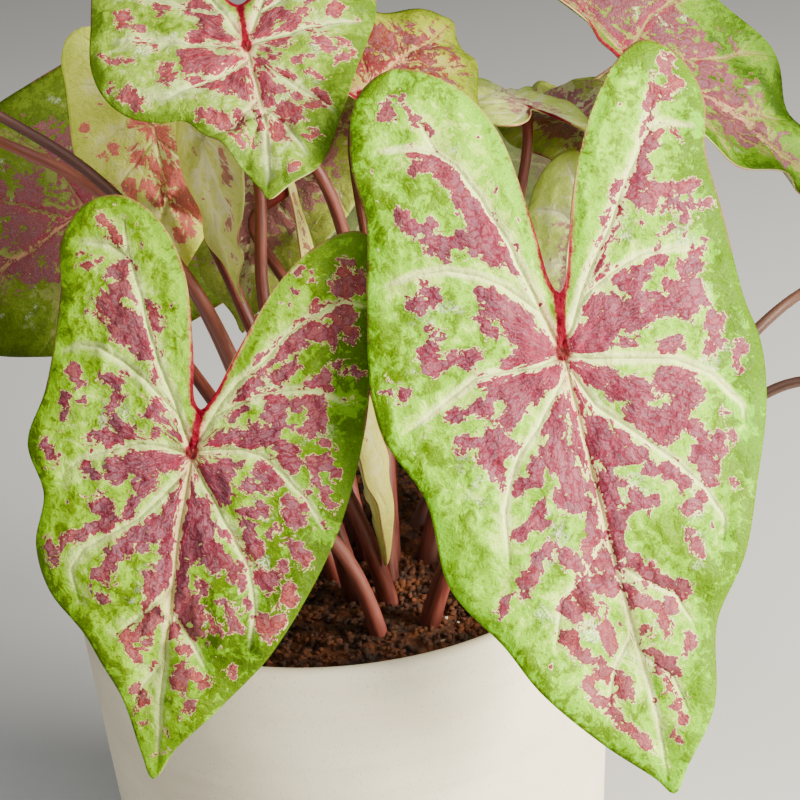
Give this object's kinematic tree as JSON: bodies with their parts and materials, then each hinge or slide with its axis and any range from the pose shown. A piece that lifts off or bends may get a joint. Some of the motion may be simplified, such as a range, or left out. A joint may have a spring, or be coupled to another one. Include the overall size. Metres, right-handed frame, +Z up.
{
  "type": "potted caladium plant",
  "caption": "Caladium in a plain tapered round pot: arrow-shaped green leaves blotched dusty pink, hanging at the ends of slender reddish stalks that rise together from the soil.",
  "frame": {"origin": "centre of the pot's base, on the surface it stands on", "axes": "+Z up through the pot's axis, -Y towards the front of the plant, +X to the right seen from the front"},
  "size_m": [0.3534, 0.3019, 0.3579],
  "materials": {
    "pot": "matte",
    "soil": "matte",
    "tuber": "matte",
    "leaf": "satin",
    "leaf_young": "satin",
    "petiole": "satin"
  },
  "bodies": {
    "root": {"pot": "pot", "soil": "soil", "tuber": "tuber", "leaf_front_right": "leaf", "petiole_front_right": "petiole", "leaf_front_left": "leaf", "petiole_front_left": "petiole", "leaf_top_front": "leaf", "petiole_top_front": "petiole", "leaf_left_hanging": "leaf", "petiole_left_hanging": "petiole", "leaf_left_folded": "leaf", "petiole_left_folded": "petiole", "leaf_far_left": "leaf", "petiole_far_left": "petiole", "leaf_mid_back": "leaf", "petiole_mid_back": "petiole", "leaf_young_hanging": "leaf_young", "petiole_young_hanging": "petiole", "leaf_back_centre": "leaf", "petiole_back_centre": "petiole", "leaf_back_right_small": "leaf", "petiole_back_right_small": "petiole", "leaf_back_right_high": "leaf", "petiole_back_right_high": "petiole", "leaf_young_edge": "leaf_young", "petiole_young_edge": "petiole", "leaf_behind_notch": "leaf", "petiole_behind_notch": "petiole", "leaf_top_right": "leaf", "petiole_top_right": "petiole", "leaf_right_upper": "leaf", "petiole_right_upper": "petiole", "leaf_right_lower": "leaf", "petiole_right_lower": "petiole", "leaf_left_upper": "leaf", "petiole_left_upper": "petiole", "leaf_left_lower": "leaf", "petiole_left_lower": "petiole", "leaf_rear_left": "leaf", "petiole_rear_left": "petiole", "leaf_rear_centre": "leaf", "petiole_rear_centre": "petiole", "leaf_rear_right": "leaf", "petiole_rear_right": "petiole"}
  },
  "joints": []
}
